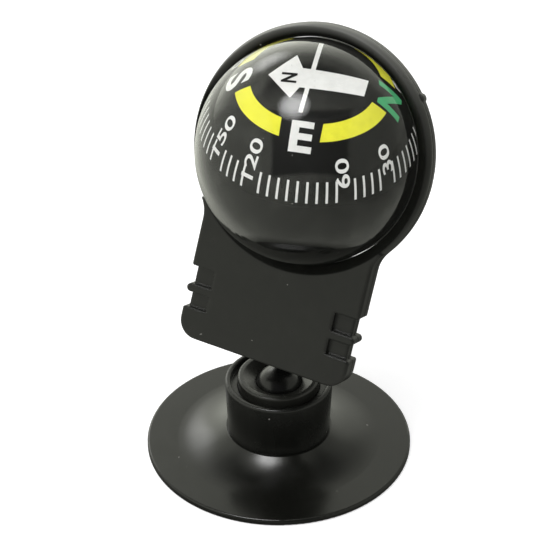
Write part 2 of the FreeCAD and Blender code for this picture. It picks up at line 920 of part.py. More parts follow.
def write_parts():
    """Builds every piece and writes one file for each."""
    os.makedirs("parts", exist_ok=True)
    pieces = {
        "suction_cup": suction_cup(),
        "socket_collar": socket_collar(),
        "ball_socket": ball_socket(),
        "friction_pad": friction_pad(),
        "ball_stud": in_head(ball_stud()),
        "stud_washer": in_head(stud_washer()),
        "stud_screw": in_head(stud_screw()),
        "front_shell": in_head(front_shell()),
        "rear_shell": in_head(rear_shell()),
        "shell_screws": in_head(shell_screws()),
        "capsule_front": in_head(capsule_front()),
        "capsule_rear": in_head(capsule_rear()),
        "capsule_gasket": in_head(capsule_gasket()),
        "filler_plug": in_head(filler_plug()),
        "damping_liquid": in_head(damping_liquid()),
        "float_top": in_float(float_top()),
        "float_bottom": in_float(float_bottom()),
        "ballast_weight": in_float(ballast_weight()),
        "bar_magnet": in_float(magnet()),
        "magnet_cradle": in_float(magnet_cradle()),
    }
    for name, shape in pieces.items():
        box = shape.BoundBox
        print(name, shape.isValid(), len(shape.Solids), round(shape.Volume, 2),
              [round(v, 2) for v in (box.XMin, box.YMin, box.ZMin, box.XMax, box.YMax, box.ZMax)])
        shape.exportStep("parts/" + name + ".step")


write_parts()
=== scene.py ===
import json
import math

import bmesh
import bpy
import numpy as np
from bpy.props import FloatProperty, FloatVectorProperty, PointerProperty
from mathutils import Matrix, Vector


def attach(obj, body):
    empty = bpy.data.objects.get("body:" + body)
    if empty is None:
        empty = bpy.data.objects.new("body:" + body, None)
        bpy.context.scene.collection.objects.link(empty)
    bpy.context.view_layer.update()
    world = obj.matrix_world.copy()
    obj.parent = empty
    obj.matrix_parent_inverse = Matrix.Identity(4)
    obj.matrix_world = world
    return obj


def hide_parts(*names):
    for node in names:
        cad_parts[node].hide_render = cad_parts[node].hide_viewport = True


# Looks of a dashboard compass: a clear ball with a printed float, a two-part ring with a grip plate,
# a ball joint and a suction cup. Lengths are metres unless a comment says otherwise. The angles written
# in this file are degrees, and the properties hold them in radians.

bl_info = {
    "name": "Dashboard compass looks",
    "version": (1, 0, 0),
    "blender": (4, 5, 0),
    "location": "3D View > Sidebar > Compass",
    "description": "Dresses the packed dashboard compass with its clear ball, printed float and finishes",
    "category": "Object",
}

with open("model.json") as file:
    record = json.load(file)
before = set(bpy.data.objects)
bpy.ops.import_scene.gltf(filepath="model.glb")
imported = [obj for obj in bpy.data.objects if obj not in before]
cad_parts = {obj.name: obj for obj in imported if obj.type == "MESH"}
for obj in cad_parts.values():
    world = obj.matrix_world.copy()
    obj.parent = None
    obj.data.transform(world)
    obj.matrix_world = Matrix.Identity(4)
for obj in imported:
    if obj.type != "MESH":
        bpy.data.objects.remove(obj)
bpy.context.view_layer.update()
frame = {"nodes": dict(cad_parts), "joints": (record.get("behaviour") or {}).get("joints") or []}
JOINTS = {joint["name"]: joint for joint in frame["joints"]}

# How the head and the float stand, as the part's source turns them
HEAD_TURN, HEAD_LEAN, HEAD_ROLL = -25.1, -22.4, 3.8
FLOAT_HEADING = -8.1

# The clear ball's points from front to back and round it
BALL_ROWS, BALL_COLUMNS = 101, 160

# The glued seam: how far it lies behind the ball's middle, its width, and how far the inner and the outer
# wall of each of its two rings stand off the ball's skin. The ring inside the skin is partly a glue line and
# partly painted shade: a dark band that darkens the ball's top edge
SEAM_SET_BACK, SEAM_WIDTH = 0.00145, 0.0008
SEAM_RINGS = {"capsule_flange": (0.00003, 0.00105), "glue_line_and_painted_shade": (-0.0009, -0.00005)}

# The degrees between two ticks, and the points along a tick
TICK_STEP, TICK_ROWS = 6, 9

# The degree numbers: angle from the pole and bearing of each one's middle, as they stand in the photograph
NUMBERS = {
    30: (70.2, 28.5), 60: (69.4, 61.8), 120: (68.2, 123.0), 150: (68.0, 153.0),
    210: (68.1, 213.0), 240: (68.1, 243.0), 300: (68.1, 302.0), 330: (68.1, 327.0),
}

# How much wider and heavier than the plain typeface the numbers are, and the angle between the cuts that
# let them bend
NUMBER_STRETCH, NUMBER_WEIGHT, NUMBER_CUTS = 1.6, 0.015, 2.0

# The letters: angle from the pole, bearing, share of the letter height and stretch, and for all of them
# the weight and the angle between the cuts
LETTERS = {
    "N": (49.8, 351.5, 0.96, 1.12), "E": (47.0, 91.6, 0.97, 1.17),
    "S": (48.0, 188.5, 1.0, 1.15), "W": (49.5, 270.0, 0.9, 1.0),
}
LETTER_WEIGHT, LETTER_CUTS = 0.035, 2.5

# The middle lines of the gaps that each band runs between, as bearings, and a band's points down and along
BANDS = ((-10.5, 94.6), (91.6, 191.5), (188.5, 270.0), (270.0, 351.5))
BAND_ROWS, BAND_COLUMNS = 9, 31

# How the dial's west side is lowered: the bearing of west, the angle off it over which a share of the
# lowering fades, that share, and the angle off west beyond which nothing is lowered
WEST, FADE_WIDTH, FADE_SHARE, LOWERED_REACH = 270.0, 60.0, 0.5, 72.0

# What is printed on the flat top, in millimetres toward north and west: the arrow's outline, the letter on
# its head with its height and weight, and the line that crosses it, in two parts
ARROW = np.array([
    (-6.2, 0.4), (-2.75, -4.12), (-1.7, -1.67), (7.3, -1.44), (7.3, 2.0), (-1.7, 2.23), (-2.75, 4.68),
])
ARROW_LETTER_PLACE, ARROW_LETTER_HEIGHT, ARROW_LETTER_WEIGHT = (-3.3, 0.05), 2.1, 0.03
CROSS_LINE = (((-0.03, 7.8), (-0.35, 2.15)), ((-0.62, -1.6), (-0.95, -7.0)))
CROSS_HALF_WIDTH, CROSS_ROWS, CROSS_COLUMNS = 0.3, 9, 3

# Where the ring is matt and where a pale highlight is painted on it, each from one end of the change to the
# other: the distance from the head's axis, the height above the ball's middle and the way to the right of it
BORE_WALL = (0.0201, 0.0203)
HIGHLIGHT_OUTWARD, HIGHLIGHT_UPWARD, HIGHLIGHT_SIDEWAYS = (0.0190, 0.0202), (0.004, 0.013), (0.004, 0.017)

# The camera that took the photograph
CAMERA_RISE, CAMERA_DISTANCE = 38.49, 0.37008
CAMERA_TILT, CAMERA_PAN = 4.48, 0.09
CAMERA_LENS, SENSOR_WIDTH = 137.24, 36.0

# The lamps: what they point at, and each one's place with its width and height
LAMP_TARGET = (0.003, 0.0, 0.035)
BACK_LAMP = ((-0.25, 0.54, 0.40), (0.36, 0.30))
TOP_LAMP = ((-0.135, -0.125, 0.62), (0.34, 0.34))

# The tent's white, and the edges of its dim opening as parts of a direction across and up, with their
# softness
TENT_WHITE = (0.98, 1.0, 0.88)
OPENING_EDGES, OPENING_SOFTNESS = ((-0.60, 0.63), (-0.50, 0.55)), 0.03

# The floor: half its side, the light that lifts it to white, and as it shows in the object's gloss, from one
# end of each change to the other: the way to the right, and a shadow painted round the cup's foot and at a
# place behind the cup
FLOOR_HALF, FLOOR_GLOW = 3.0, 0.52
FLOOR_SIDEWAYS, FOOT_PAINTED_SHADOW = (-0.10, 0.12), (0.0235, 0.032)
PAINTED_SHADOW_PLACE, PAINTED_SHADOW_REACH = (0.015, 0.055, 0.0), (0.035, 0.075)


# Sizes and colours

def length(name, description, default):
    """A length that a user may change."""
    return FloatProperty(name=name, description=description, default=default, unit="LENGTH", precision=5)


def angle(name, description, degrees):
    """An angle that a user may change."""
    return FloatProperty(name=name, description=description, default=math.radians(degrees), subtype="ANGLE")


def colour(name, description, default):
    """A colour that a user may change."""
    return FloatVectorProperty(
        name=name, description=description, default=default, subtype="COLOR", size=3, min=0.0, max=1.0
    )


def strength(name, description, default):
    """A strength of light that a user may change."""
    return FloatProperty(name=name, description=description, default=default, min=0.0)


def power(name, description, default):
    """A lamp's power that a user may change."""
    return FloatProperty(name=name, description=description, default=default, unit="POWER")


class CompassSizes(bpy.types.PropertyGroup):
    """Sizes of the pieces made here."""

    ball_radius: length("Clear ball radius", "Outer radius of the clear ball", 0.01845)
    float_radius: length("Float radius", "Radius of the float's round side", 0.0139)
    float_flat_radius: length("Flat top radius", "Radius of the float's flat top", 0.008)
    print_lift: length("Printing lift", "How far the printing stands off the float", 0.00003)
    print_thickness: length("Printing thickness", "Thickness of the layer of ink", 0.00002)
    tick_top: angle("Tick top", "Angle from the pole to the ticks' upper ends", 73.6)
    tick_foot: angle("Tick foot", "Angle from the pole to the ticks' lower ends", 87.4)
    tick_width: length("Tick width", "Width of a tick", 0.00036)
    digit_height: angle("Digit height", "Height of the numbers, seen from the float's middle", 8.7)
    number_length: angle("Number length", "Longest that a number may be, seen from the float's middle", 25.0)
    letter_height: angle("Letter height", "Height of the letters, seen from the float's middle", 19.5)
    band_top: angle("Band top", "Angle from the pole to the bands' upper edge", 38.7)
    band_foot: angle("Band foot", "Angle from the pole to the bands' lower edge", 49.6)
    band_limit: angle("Band limit", "Lowest that a lowered band may reach, just short of the numbers", 55.0)
    band_gap: angle("Band gap", "Angle between a letter's middle line and the end of a band", 13.5)
    west_drop: angle("West drop", "How much lower the letter W stands than the letter E", 11.0)


class CompassColours(bpy.types.PropertyGroup):
    """Colours of the finishes, as linear values."""

    shell: colour("Shell", "Ring and grip plate", (0.0046, 0.0049, 0.0038))
    # A pale highlight painted on the top of the ring, standing in for the gloss of its rounded edge
    scuff: colour("Scuff", "Scuffed stretch at the top of the ring", (0.12, 0.121, 0.112))
    collar: colour("Collar", "Collar", (0.0055, 0.0058, 0.0047))
    socket: colour("Socket", "Turning socket", (0.0210, 0.0215, 0.0180))
    rubber: colour("Rubber", "Suction cup", (0.0046, 0.0048, 0.0038))
    ball: colour("Ball", "Ball of the ball joint", (0.0060, 0.0062, 0.0054))
    clear: colour("Clear", "Ball and liquid", (0.985, 0.990, 0.975))
    # These seam tones also colour the band inside the ball that paints shade along its top edge
    seam_dark: colour("Seam, dark", "Darker tone of the clear ball's glued seam", (0.030, 0.031, 0.028))
    seam_pale: colour("Seam, pale", "Paler tone of the clear ball's glued seam", (0.060, 0.061, 0.055))
    float_black: colour("Float", "Ground colour of the float", (0.0040, 0.0042, 0.0035))
    white_ink: colour("White ink", "Numbers, ticks, letters and arrow", (0.90, 0.90, 0.88))
    yellow_ink: colour("Yellow ink", "Bands between the letters", (0.93, 0.90, 0.060))
    green_ink: colour("Green ink", "North letter", (0.090, 0.560, 0.230))
    steel: colour("Steel", "Screws and washer", (0.56, 0.56, 0.57))
    brass: colour("Brass", "Ballast weight", (0.66, 0.50, 0.24))
    magnet: colour("Magnet", "Bar magnet", (0.12, 0.12, 0.125))
    cradle: colour("Cradle", "Magnet cradle and filler plug", (0.52, 0.52, 0.50))
    dust: colour("Dust", "Dust and lint", (0.42, 0.41, 0.38))
    floor: colour("Floor", "Studio floor", (0.80, 0.80, 0.80))


class CompassLight(bpy.types.PropertyGroup):
    """Strengths of the studio's light."""

    tent: strength("Tent", "Light of the white tent", 0.62)
    opening: strength("Opening", "Light from the tent's opening", 0.13)
    back_lamp: power("Back lamp", "Power of the lamp behind", 0.45)
    top_lamp: power("Top lamp", "Power of the lamp above", 2.3)


# Frames

def turned(axis, degrees):
    """A rotation matrix about an axis."""
    return np.array(Matrix.Rotation(math.radians(degrees), 3, Vector(axis)))


def head_frame():
    """The capsule's middle and the head's axes: across, up, and out of the front."""
    rotation = turned((0, 0, 1), HEAD_TURN) @ turned((1, 0, 0), HEAD_LEAN) @ turned((0, 1, 0), HEAD_ROLL)
    centre = np.array(JOINTS["float_heading"]["pos_m"])
    across, up, front = [rotation @ np.array(axis, float) for axis in ((1, 0, 0), (0, 0, 1), (0, -1, 0))]
    return centre, across, up, front


def float_frame():
    """The float's middle and a matrix whose columns are its north, its west and its pole."""
    centre = np.array(JOINTS["float_heading"]["pos_m"])
    pole = np.array(JOINTS["float_heading"]["axis"], float)
    side = np.array(JOINTS["float_lean_side"]["axis"], float)
    pole /= np.linalg.norm(pole)
    fore = np.cross(side, pole)
    fore /= np.linalg.norm(fore)
    heading = math.radians(FLOAT_HEADING)
    north = math.cos(heading) * fore + math.sin(heading) * np.cross(pole, fore)
    return centre, np.stack([north, np.cross(pole, north), pole], 1)


# Meshes

def grid_faces(rows, columns, closed=False):
    """Quads between neighbouring points of a grid, row by row. A closed grid joins its last column
    to its first."""
    index = np.arange(rows * columns).reshape(rows, columns)
    if closed:
        index = np.concatenate([index, index[:, :1]], 1)
    corners = [index[:-1, :-1], index[1:, :-1], index[1:, 1:], index[:-1, 1:]]
    return np.stack([corner.ravel() for corner in corners], 1)


def new_piece(name, points, faces, body, material, smooth=True):
    """A mesh object at the origin, whose place is in its mesh, that rides on a body."""
    mesh = bpy.data.meshes.new(name)
    mesh.from_pydata(np.asarray(points, float).tolist(), [], np.asarray(faces).tolist())
    mesh.update()
    mesh.polygons.foreach_set("use_smooth", np.full(len(mesh.polygons), smooth))
    mesh.materials.append(material)
    piece = bpy.data.objects.new(name, mesh)
    bpy.context.scene.collection.objects.link(piece)
    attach(piece, body)
    return piece


def turned_surface(profile, columns, centre, axis, across):
    """A profile of (radius, height) turned about an axis, closed round the axis.
    Each point is the centre plus height along the axis plus radius along a direction that turns about it."""
    turn = np.linspace(0, 2 * np.pi, columns, endpoint=False)
    other = np.cross(axis, across)
    ring = np.cos(turn)[:, None] * across + np.sin(turn)[:, None] * other
    points = centre + profile[:, 1, None, None] * axis + profile[:, 0, None, None] * ring
    return points.reshape(-1, 3), grid_faces(len(profile), columns, closed=True)


def joined(parts):
    """One list of points and one of faces from several."""
    points, faces, start = [], [], 0
    for part_points, part_faces in parts:
        points.append(part_points)
        faces.append(np.asarray(part_faces) + start)
        start += len(part_points)
    return np.concatenate(points), np.concatenate(faces)


def faces_outward(piece):
    """Merges the doubled points of seams and poles and turns every face outwards."""
    work = bmesh.new()
    work.from_mesh(piece.data)
    bmesh.ops.remove_doubles(work, verts=work.verts, dist=1e-7)
    bmesh.ops.recalc_face_normals(work, faces=work.faces)
    work.to_mesh(piece.data)
    work.free()


# Printing on the float

def direction(from_pole, bearing):
    """Unit directions in the float's own axes. Bearings grow from north towards east."""
    return np.stack([
        np.sin(from_pole) * np.cos(bearing),
        -np.sin(from_pole) * np.sin(bearing),
        np.cos(from_pole),
    ], -1)


def flat_height(sizes):
    """How high the float's flat top stands above its middle."""
    return math.sqrt(sizes.float_radius ** 2 - sizes.float_flat_radius ** 2)


def on_float(directions, sizes):
    """Points on the float's skin, lifted a little: the sphere, cut off by the flat top.
    Where a direction's sphere point stands above the flat, it is brought down to the flat along the pole."""
    points = directions * (sizes.float_radius + sizes.print_lift)
    points[..., 2] = np.minimum(points[..., 2], flat_height(sizes) + sizes.print_lift)
    centre, axes = float_frame()
    return centre + points @ axes.T


def on_flat(flat_points, sizes, lifts=1):
    """Points on the flat top from millimetres toward north and west, lifted off it by so many lifts."""
    height = flat_height(sizes) + lifts * sizes.print_lift
    local = np.column_stack([flat_points / 1000, np.full(len(flat_points), height)])
    centre, axes = float_frame()
    return centre + local @ axes.T


def wrapped(flat_points, from_pole, bearing, turn):
    """Flat points, in radians across and up, laid on the sphere about one place without stretching along
    its rays. Up points at the pole before the turn, and across points to the viewer's right."""
    c, s = math.cos(turn), math.sin(turn)
    x = flat_points[:, 0] * c - flat_points[:, 1] * s
    y = flat_points[:, 0] * s + flat_points[:, 1] * c
    reach = np.hypot(x, y)
    share = np.where(reach > 1e-9, np.sin(reach) / np.maximum(reach, 1e-9), 1.0)
    middle = direction(np.array(from_pole), np.array(bearing))
    up = -direction(np.array(from_pole + math.pi / 2), np.array(bearing))
    across = np.cross(up, middle)
    return np.cos(reach)[:, None] * middle + (share * x)[:, None] * across + (share * y)[:, None] * up


def word_mesh(text, weight):
    """A word's flat outline, filled, in the plain typeface at its own size, ready to be cut."""
    curve = bpy.data.curves.new("word", "FONT")
    curve.body = text
    curve.size = 1.0
    curve.offset = weight
    curve.resolution_u = 5
    word = bpy.data.objects.new("word", curve)
    bpy.context.scene.collection.objects.link(word)
    bpy.context.view_layer.update()
    mesh = bpy.data.meshes.new_from_object(word.evaluated_get(bpy.context.evaluated_depsgraph_get()))
    bpy.data.objects.remove(word)
    work = bmesh.new()
    work.from_mesh(mesh)
    bpy.data.meshes.remove(mesh)
    bmesh.ops.remove_doubles(work, verts=work.verts, dist=1e-5)
    return work


def letter_shape(text, height, stretch, weight, step):
    """A word's flat triangles, across and up about its middle, in the unit of its height, cut by planes
    a step apart so that they can bend over the sphere."""
    work = word_mesh(text, weight)
    corners = np.array([vert.co[:2] for vert in work.verts])
    low, high = corners.min(0), corners.max(0)
    scale = height / (high[1] - low[1])
    for side, normal in enumerate(((1, 0, 0), (0, 1, 0))):
        for place in np.arange(low[side] + step / scale, high[side], step / scale):
            at = [0, 0, 0]
            at[side] = place
            parts = work.verts[:] + work.edges[:] + work.faces[:]
            bmesh.ops.bisect_plane(work, geom=parts, plane_co=at, plane_no=normal, dist=1e-6)
    bmesh.ops.triangulate(work, faces=work.faces)
    work.verts.index_update()
    points = (np.array([vert.co[:2] for vert in work.verts]) - (low + high) / 2) * scale
    faces = np.array([[vert.index for vert in face.verts] for face in work.faces])
    work.free()
    points[:, 0] *= stretch
    return points, counterclockwise(points, faces)


def counterclockwise(points, faces):
    """Turns flat triangles so that they all run counterclockwise."""
    a, b, c = points[faces[:, 0]], points[faces[:, 1]], points[faces[:, 2]]
    area = (b[:, 0] - a[:, 0]) * (c[:, 1] - a[:, 1]) - (b[:, 1] - a[:, 1]) * (c[:, 0] - a[:, 0])
    return np.where(area[:, None] > 0, faces, faces[:, ::-1])


def printed(name, points, faces, material):
    """A thin layer of ink that rides on the float."""
    piece = new_piece(name, points, faces, "float", material, smooth=False)
    layer = piece.modifiers.new("ink", "SOLIDIFY")
    layer.thickness = bpy.context.scene.compass_sizes.print_thickness
    layer.offset = -1.0


def sphere_patch(from_pole, bearing, sizes):
    """A patch between grids of angles from the pole and bearings. Each point lies on the float in that
    direction."""
    points = on_float(direction(from_pole, bearing), sizes)
    return points.reshape(-1, 3), grid_faces(*from_pole.shape)[:, ::-1]


def lowered(from_pole, bearing, sizes):
    """Angles from the pole, made larger toward the west: half of the drop at the ends of the west side's
    bands, as the photograph shows them, and all of it at the west."""
    off_west = np.abs(np.mod(bearing, 2 * np.pi) - math.radians(WEST))
    share = 1 - FADE_SHARE * np.minimum(off_west / math.radians(FADE_WIDTH), 1.0)
    return from_pole + np.where(off_west < math.radians(LOWERED_REACH), share, 0.0) * sizes.west_drop


def tick_ring(sizes):
    """The ring of ticks, with none where a number stands."""
    half = sizes.tick_width / sizes.float_radius / 2
    down = np.linspace(sizes.tick_top, sizes.tick_foot, TICK_ROWS)
    ticks = []
    for degrees in range(0, 360, TICK_STEP):
        if degrees not in NUMBERS:
            side = math.radians(degrees) + np.array([-half, 0, half])
            ticks.append(sphere_patch(*np.meshgrid(down, side, indexing="ij"), sizes))
    return joined(ticks)


def number_ring(sizes):
    """The degree numbers, standing on end, each narrowed to the longest that fits."""
    numbers = []
    for number, (middle, bearing) in NUMBERS.items():
        flat, faces = letter_shape(
            str(number), sizes.digit_height, NUMBER_STRETCH, NUMBER_WEIGHT, math.radians(NUMBER_CUTS))
        flat[:, 0] *= min(1.0, sizes.number_length / np.ptp(flat[:, 0]))
        laid = wrapped(flat, math.radians(middle), math.radians(bearing), math.pi / 2)
        numbers.append((on_float(laid, sizes), faces))
    return joined(numbers)


def dial_letters(sizes):
    """The four letters' points and faces, by letter."""
    letters = {}
    for text, (middle, bearing, size, stretch) in LETTERS.items():
        flat, faces = letter_shape(
            text, sizes.letter_height * size, stretch, LETTER_WEIGHT, math.radians(LETTER_CUTS))
        from_pole = lowered(math.radians(middle), math.radians(bearing), sizes)
        letters[text] = (on_float(wrapped(flat, from_pole, math.radians(bearing), 0.0), sizes), faces)
    return letters


def band_patch(first, last, sizes):
    """A band between two letters, given by their bearings. Its ends are parallel to the letters' middle
    lines: at each angle from the pole they lie as far along the bearing as keeps the gap to the line
    the same. A lowered band gets narrower where it would reach the numbers."""
    from_pole = np.linspace(sizes.band_top, sizes.band_foot, BAND_ROWS)[:, None]
    gap = np.arcsin(math.sin(sizes.band_gap) / np.sin(from_pole))
    start, end = math.radians(first) + gap, math.radians(last) - gap
    bearing = start + np.linspace(0, 1, BAND_COLUMNS)[None, :] * (end - start)
    low = lowered(from_pole + 0 * bearing, bearing, sizes)
    top, foot = low[:1], low[-1:]
    low = top + (low - top) * np.minimum(1.0, (sizes.band_limit - top) / (foot - top))
    return sphere_patch(low, bearing, sizes)


def arrow_letter(sizes):
    """The letter on the arrow's head, its foot toward the arrow's tail, lifted clear of the arrow's ink."""
    flat, faces = letter_shape("N", ARROW_LETTER_HEIGHT, 1.0, ARROW_LETTER_WEIGHT, 1.0)
    north, west = ARROW_LETTER_PLACE
    return on_flat(np.stack([north - flat[:, 1], west + flat[:, 0]], 1), sizes, lifts=3), faces


def flat_strip(start, end, sizes):
    """A strip of the cross line on the flat top, between two points in millimetres."""
    start, end = np.array(start, float), np.array(end, float)
    along = (end - start) / np.linalg.norm(end - start)
    side = np.array([-along[1], along[0]])
    reach = np.linspace(0, 1, CROSS_ROWS)[:, None, None]
    share = np.linspace(-1, 1, CROSS_COLUMNS)[None, :, None]
    flat = start + reach * (end - start) + share * CROSS_HALF_WIDTH * side
    return on_flat(flat.reshape(-1, 2), sizes), grid_faces(CROSS_ROWS, CROSS_COLUMNS)[:, ::-1]


# Shared effects

def group_start(name, inputs, outputs):
    """An empty node group with named inputs (name, type, default) and outputs (name, type)."""
    group = bpy.data.node_groups.new(name, "ShaderNodeTree")
    for label, kind, default in inputs:
        socket = group.interface.new_socket(label, in_out="INPUT", socket_type=kind)
        if default is not None:
            socket.default_value = default
    for label, kind in outputs:
        group.interface.new_socket(label, in_out="OUTPUT", socket_type=kind)
    start = group.nodes.new("NodeGroupInput")
    end = group.nodes.new("NodeGroupOutput")
    return group, start, end


def node(tree, kind, links=None, **values):
    """A node with its settings, and with its inputs linked or set by name or number."""
    made = tree.nodes.new(kind)
    for key, value in values.items():
        setattr(made, key, value)
    for key, value in (links or {}).items():
        if isinstance(value, bpy.types.NodeSocket):
            tree.links.new(value, made.inputs[key])
        else:
            made.inputs[key].default_value = value
    return made


def math_node(tree, operation, *inputs, clamp=False):
    """A Math node's output."""
    made = node(tree, "ShaderNodeMath", dict(enumerate(inputs)), operation=operation, use_clamp=clamp)
    return made.outputs[0]


def vector_node(tree, operation, first, second, output="Value"):
    """A Vector Math node's output."""
    made = node(tree, "ShaderNodeVectorMath", {0: first, 1: second}, operation=operation)
    return made.outputs[output]


def spread(tree, value, low, high, to_low=0.0, to_high=1.0):
    """A value stretched from one range to another and kept inside it."""
    links = {"Value": value, "From Min": low, "From Max": high, "To Min": to_low, "To Max": to_high}
    return node(tree, "ShaderNodeMapRange", links, clamp=True).outputs["Result"]


def blended(tree, factor, first, second):
    """A colour between two by a factor. A Mix node's sockets for colours are its inputs 6 and 7 and its
    output 2."""
    return node(tree, "ShaderNodeMix", {0: factor, 6: first, 7: second}, data_type="RGBA").outputs[2]


def grain_group():
    """Fine moulded grain: a fine and a coarse noise added. Gives a height and a tone from 0 to 1."""
    inputs = [("Vector", "NodeSocketVector", None), ("Scale", "NodeSocketFloat", 9000.0)]
    outputs = [("Height", "NodeSocketFloat"), ("Tone", "NodeSocketFloat")]
    group, start, end = group_start("mould_grain", inputs, outputs)
    fine = node(group, "ShaderNodeTexNoise", {
        "Vector": start.outputs["Vector"], "Scale": start.outputs["Scale"], "Detail": 2.0, "Roughness": 0.6,
    })
    wide_scale = math_node(group, "MULTIPLY", start.outputs["Scale"], 0.06)
    wide = node(group, "ShaderNodeTexNoise", {
        "Vector": start.outputs["Vector"], "Scale": wide_scale, "Detail": 3.0, "Roughness": 0.55,
    })
    coarse = math_node(group, "MULTIPLY", wide.outputs["Fac"], 0.8)
    group.links.new(math_node(group, "ADD", fine.outputs["Fac"], coarse), end.inputs["Height"])
    group.links.new(spread(group, wide.outputs["Fac"], 0.3, 0.7), end.inputs["Tone"])
    return group


def dust_group():
    """Sparse specks of dust and lint: small round spots in some cells of a Voronoi pattern."""
    inputs = [
        ("Vector", "NodeSocketVector", None), ("Scale", "NodeSocketFloat", 900.0),
        ("Cover", "NodeSocketFloat", 0.1), ("Size", "NodeSocketFloat", 0.16),
    ]
    group, start, end = group_start("dust_specks", inputs, [("Mask", "NodeSocketFloat")])
    around = start.outputs["Vector"]
    bent = node(group, "ShaderNodeTexNoise", {"Vector": around, "Scale": 2500.0, "Detail": 1.0})
    offset = vector_node(group, "MULTIPLY", bent.outputs["Color"], (0.0004, 0.0004, 0.0004), "Vector")
    place = vector_node(group, "ADD", around, offset, "Vector")
    cells = node(group, "ShaderNodeTexVoronoi", {"Vector": place, "Scale": start.outputs["Scale"]})
    pick = node(group, "ShaderNodeSeparateColor", {0: cells.outputs["Color"]})
    chosen = math_node(group, "LESS_THAN", pick.outputs[0], start.outputs["Cover"])
    reach = math_node(group, "MULTIPLY", pick.outputs[1], start.outputs["Size"])
    far = math_node(group, "DIVIDE", cells.outputs["Distance"], reach)
    near = math_node(group, "SUBTRACT", 1.0, far, clamp=True)
    mask = math_node(group, "MULTIPLY", chosen, math_node(group, "POWER", near, 0.5))
    group.links.new(mask, end.inputs["Mask"])
    return group


def smudge_group():
    """Rubbed and handled patches: a bent, soft noise with streaks across it."""
    inputs = [("Vector", "NodeSocketVector", None), ("Scale", "NodeSocketFloat", 120.0)]
    group, start, end = group_start("smudges", inputs, [("Mask", "NodeSocketFloat")])
    soft = node(group, "ShaderNodeTexNoise", {
        "Vector": start.outputs["Vector"], "Scale": start.outputs["Scale"], "Detail": 2.0, "Distortion": 0.9,
    })
    drawn = node(group, "ShaderNodeMapping", {
        "Vector": start.outputs["Vector"], "Rotation": (0.3, 0.5, 0.4), "Scale": (7.0, 1.0, 1.0),
    })
    streaks = node(group, "ShaderNodeTexNoise", {
        "Vector": drawn.outputs[0], "Scale": start.outputs["Scale"], "Detail": 1.0,
    })
    patches = math_node(group, "MULTIPLY", spread(group, soft.outputs["Fac"], 0.42, 0.68), 0.75)
    lines = math_node(group, "MULTIPLY", spread(group, streaks.outputs["Fac"], 0.45, 0.75), 0.25)
    group.links.new(math_node(group, "ADD", patches, lines), end.inputs["Mask"])
    return group


def effect(name):
    """A shared effect's node group, built once."""
    made = {"mould_grain": grain_group, "dust_specks": dust_group, "smudges": smudge_group}
    return bpy.data.node_groups.get(name) or made[name]()


def use_effect(tree, name, place, **values):
    """Places a shared effect in a material with its own values."""
    made = tree.nodes.new("ShaderNodeGroup")
    made.node_tree = effect(name)
    tree.links.new(place, made.inputs["Vector"])
    for key, value in values.items():
        made.inputs[key].default_value = value
    return made


# Materials

def opaque(colour_value):
    """A colour with full alpha."""
    return (*colour_value[:3], 1.0)


def toned(colour_value, share):
    """A colour whose channels are all scaled by a share, with full alpha."""
    return opaque([channel * share for channel in colour_value])


def start_material(name):
    """A new material with its tree, its Principled shader, its output and its Object coordinates."""
    material = bpy.data.materials.new(name)
    material.use_nodes = True
    tree = material.node_tree
    tree.nodes.clear()
    shader = tree.nodes.new("ShaderNodeBsdfPrincipled")
    output = tree.nodes.new("ShaderNodeOutputMaterial")
    tree.links.new(shader.outputs[0], output.inputs["Surface"])
    place = tree.nodes.new("ShaderNodeTexCoord").outputs["Object"]
    return material, tree, shader, output, place


def set_relief(tree, shader, height, share, depth, **values):
    """Gives a shader the relief of a height, of which a share shows, with values for its other inputs."""
    links = {"Height": height, "Strength": share, "Distance": depth, **values}
    tree.links.new(node(tree, "ShaderNodeBump", links).outputs["Normal"], shader.inputs["Normal"])


def moulded(name, base, roughness, rub=0.1, grain=8000.0, depth=0.00001, dust=0.02, dust_scale=700.0,
            edge=0.0003, shine=0.5):
    """Moulded plastic or rubber: grain of a scale and a depth, a cloudy tone, rubbed patches that are
    glossier, specks of dust, and edges whose shading is rounded over a short way. Shine is low for a piece
    that stands in liquid."""
    colours = bpy.context.scene.compass_colours
    material, tree, shader, _, place = start_material(name)
    relief = use_effect(tree, "mould_grain", place, Scale=grain)
    smudges = use_effect(tree, "smudges", place)
    specks = use_effect(tree, "dust_specks", place, Scale=dust_scale, Cover=dust)
    pale = opaque([min(1.0, channel * 1.5 + 0.001) for channel in base])
    cloudy = blended(tree, math_node(tree, "MULTIPLY", relief.outputs["Tone"], 0.45), opaque(base), pale)
    dusty = math_node(tree, "MULTIPLY", specks.outputs["Mask"], 0.8)
    tree.links.new(blended(tree, dusty, cloudy, opaque(colours.dust)), shader.inputs["Base Color"])
    rubbed = spread(tree, smudges.outputs["Mask"], 0.0, 1.0, roughness, roughness - rub)
    dull = math_node(tree, "MAXIMUM", rubbed, math_node(tree, "MULTIPLY", specks.outputs["Mask"], 0.9))
    tree.links.new(dull, shader.inputs["Roughness"])
    soft_edge = node(tree, "ShaderNodeBevel", {"Radius": edge}, samples=6)
    set_relief(tree, shader, relief.outputs["Height"], 0.5, depth, Normal=soft_edge.outputs["Normal"])
    shader.inputs["Specular IOR Level"].default_value = shine
    return material


def turned_metal(name, base, roughness, metallic=1.0):
    """Bare metal: fine tool marks, patches of tarnish and a little grime."""
    material, tree, shader, _, place = start_material(name)
    shader.inputs["Metallic"].default_value = metallic
    grain = use_effect(tree, "mould_grain", place, Scale=14000.0)
    smudges = use_effect(tree, "smudges", place, Scale=420.0)
    mask = math_node(tree, "MULTIPLY", smudges.outputs["Mask"], 0.7)
    tree.links.new(blended(tree, mask, opaque(base), toned(base, 0.55)), shader.inputs["Base Color"])
    tarnished = spread(tree, smudges.outputs["Mask"], 0.0, 1.0, roughness, roughness + 0.25)
    tree.links.new(tarnished, shader.inputs["Roughness"])
    set_relief(tree, shader, grain.outputs["Height"], 0.25, 0.00001)
    return material


